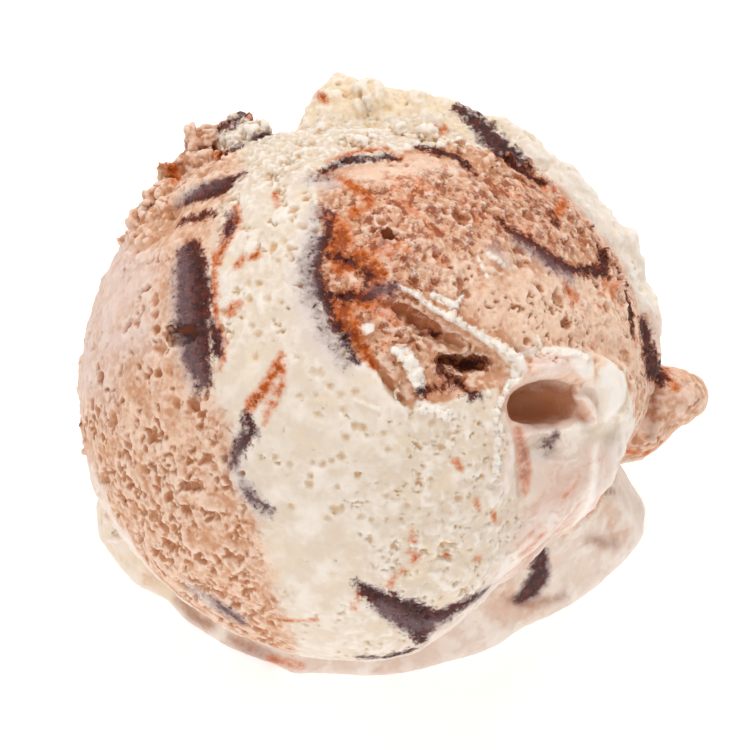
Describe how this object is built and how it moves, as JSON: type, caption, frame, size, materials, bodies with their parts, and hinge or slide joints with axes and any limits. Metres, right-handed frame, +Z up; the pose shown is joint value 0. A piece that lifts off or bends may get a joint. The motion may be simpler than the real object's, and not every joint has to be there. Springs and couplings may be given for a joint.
{
  "type": "scoop of ice cream",
  "caption": "Round scoop of marbled vanilla and chocolate ice cream with a torn rim, a lifted lip over a hollow and a pressed foot.",
  "frame": {"origin": "on the table, under the middle of the scoop's bounding box", "axes": "+Z up; the rolled dome leans towards -Y, the front; +X is to the right seen from the front"},
  "size_m": [0.0644, 0.0599, 0.0538],
  "materials": {
    "ice_cream": "satin"
  },
  "bodies": {
    "root": {"scoop": "ice_cream"}
  },
  "joints": []
}
